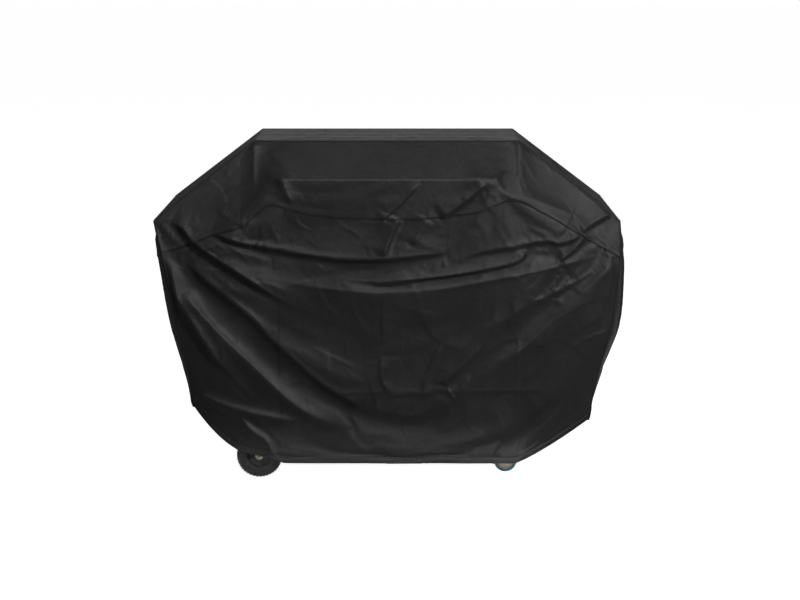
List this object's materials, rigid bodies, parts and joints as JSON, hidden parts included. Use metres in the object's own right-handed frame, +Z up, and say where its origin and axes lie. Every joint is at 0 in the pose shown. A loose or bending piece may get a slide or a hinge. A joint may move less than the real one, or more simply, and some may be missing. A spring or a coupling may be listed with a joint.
{
  "type": "grill cover",
  "caption": "Sewn fabric cover, fitted over a wheeled gas grill cart with side shelves, sloped shoulders, a lapped yoke seam, a gathered end hem, spoked wheels and swivel casters.",
  "frame": {"origin": "on the floor, under the middle of the covered grill's overall box", "axes": "+X to the right along the grill's length as seen from its front (the control panel side), +Y towards the back, +Z up"},
  "size_m": [1.573, 0.624, 1.116],
  "materials": {
    "cover_fabric": "heavy black coated polyester, plain weave, soft sheen",
    "cover_trim": "doubled and stitched black polyester hem, seam tape and elastic",
    "hood_enamel": "gloss black enamel",
    "stainless": "brushed stainless steel",
    "cart_enamel": "satin black powder coat",
    "valve_brass": "machined brass",
    "knob_plastic": "satin black moulded plastic",
    "wheel_plastic": "black moulded plastic with a ribbed tread",
    "hub_metal": "yellow zinc plating",
    "caster_zinc": "bright zinc plating",
    "caster_rubber": "blue-grey rubber",
    "caster_hub": "tan moulded plastic"
  },
  "bodies": {
    "grill": {"cover_top_panel": "cover_fabric", "cover_left_shoulder": "cover_fabric", "cover_right_shoulder": "cover_fabric", "cover_left_side": "cover_fabric", "cover_right_side": "cover_fabric", "cover_front_yoke": "cover_fabric", "cover_front_skirt": "cover_fabric", "cover_back_yoke": "cover_fabric", "cover_back_skirt": "cover_fabric", "cover_front_hem": "cover_trim", "cover_back_hem": "cover_trim", "cover_left_hem": "cover_trim", "cover_right_hem": "cover_trim", "front_yoke_seam_tape": "cover_trim", "back_yoke_seam_tape": "cover_trim", "left_hem_elastic": "cover_trim", "right_hem_elastic": "cover_trim", "hood_shell": "hood_enamel", "hood_left_cap": "hood_enamel", "hood_right_cap": "hood_enamel", "hood_handle": "stainless", "handle_posts": "stainless", "hood_hinges": "stainless", "firebox": "hood_enamel", "left_shelf": "stainless", "right_shelf": "stainless", "shelf_arms": "cart_enamel", "control_panel": "stainless", "gas_manifold": "stainless", "gas_valves": "valve_brass", "front_left_leg": "cart_enamel", "rear_left_leg": "cart_enamel", "front_right_leg": "cart_enamel", "rear_right_leg": "cart_enamel", "side_rails": "cart_enamel", "cross_rails": "cart_enamel", "bottom_tray": "stainless", "wheel_axle": "stainless", "axle_spacers": "stainless", "hub_nuts": "hub_metal", "caster_stems": "caster_zinc"},
    "front_wheel": {"front_wheel_tyre": "wheel_plastic", "front_wheel_rim": "wheel_plastic"},
    "rear_wheel": {"rear_wheel_tyre": "wheel_plastic", "rear_wheel_rim": "wheel_plastic"},
    "front_caster": {"front_caster_fork": "caster_zinc", "front_caster_bolt": "caster_zinc"},
    "front_caster_roller": {"front_caster_wheel": "caster_rubber", "front_caster_core": "caster_hub"},
    "rear_caster": {"rear_caster_fork": "caster_zinc", "rear_caster_bolt": "caster_zinc"},
    "rear_caster_roller": {"rear_caster_wheel": "caster_rubber", "rear_caster_core": "caster_hub"},
    "burner_knob_1": {"knob_1": "knob_plastic"},
    "burner_knob_2": {"knob_2": "knob_plastic"},
    "burner_knob_3": {"knob_3": "knob_plastic"},
    "burner_knob_4": {"knob_4": "knob_plastic"}
  },
  "joints": [
    {"name": "front_wheel_spin", "type": "hinge", "parent": "grill", "child": "front_wheel", "pos_m": [-0.428, -0.261, 0.076], "axis": [0, 1, 0], "continuous": true},
    {"name": "rear_wheel_spin", "type": "hinge", "parent": "grill", "child": "rear_wheel", "pos_m": [-0.428, 0.261, 0.076], "axis": [0, 1, 0], "continuous": true},
    {"name": "front_caster_swivel", "type": "hinge", "parent": "grill", "child": "front_caster", "pos_m": [0.428, -0.2175, 0.083], "axis": [0, 0, 1], "continuous": true},
    {"name": "front_caster_roll", "type": "hinge", "parent": "front_caster", "child": "front_caster_roller", "pos_m": [0.4, -0.2175, 0.038], "axis": [0, 1, 0], "continuous": true},
    {"name": "rear_caster_swivel", "type": "hinge", "parent": "grill", "child": "rear_caster", "pos_m": [0.428, 0.2175, 0.083], "axis": [0, 0, 1], "continuous": true},
    {"name": "rear_caster_roll", "type": "hinge", "parent": "rear_caster", "child": "rear_caster_roller", "pos_m": [0.4, 0.2175, 0.038], "axis": [0, 1, 0], "continuous": true},
    {"name": "knob_1_turn", "type": "hinge", "parent": "grill", "child": "burner_knob_1", "pos_m": [-0.27, -0.265, 0.797], "axis": [0, -1, 0], "range_deg": [0, 180]},
    {"name": "knob_2_turn", "type": "hinge", "parent": "grill", "child": "burner_knob_2", "pos_m": [-0.09, -0.265, 0.797], "axis": [0, -1, 0], "range_deg": [0, 180]},
    {"name": "knob_3_turn", "type": "hinge", "parent": "grill", "child": "burner_knob_3", "pos_m": [0.09, -0.265, 0.797], "axis": [0, -1, 0], "range_deg": [0, 180]},
    {"name": "knob_4_turn", "type": "hinge", "parent": "grill", "child": "burner_knob_4", "pos_m": [0.27, -0.265, 0.797], "axis": [0, -1, 0], "range_deg": [0, 180]}
  ]
}
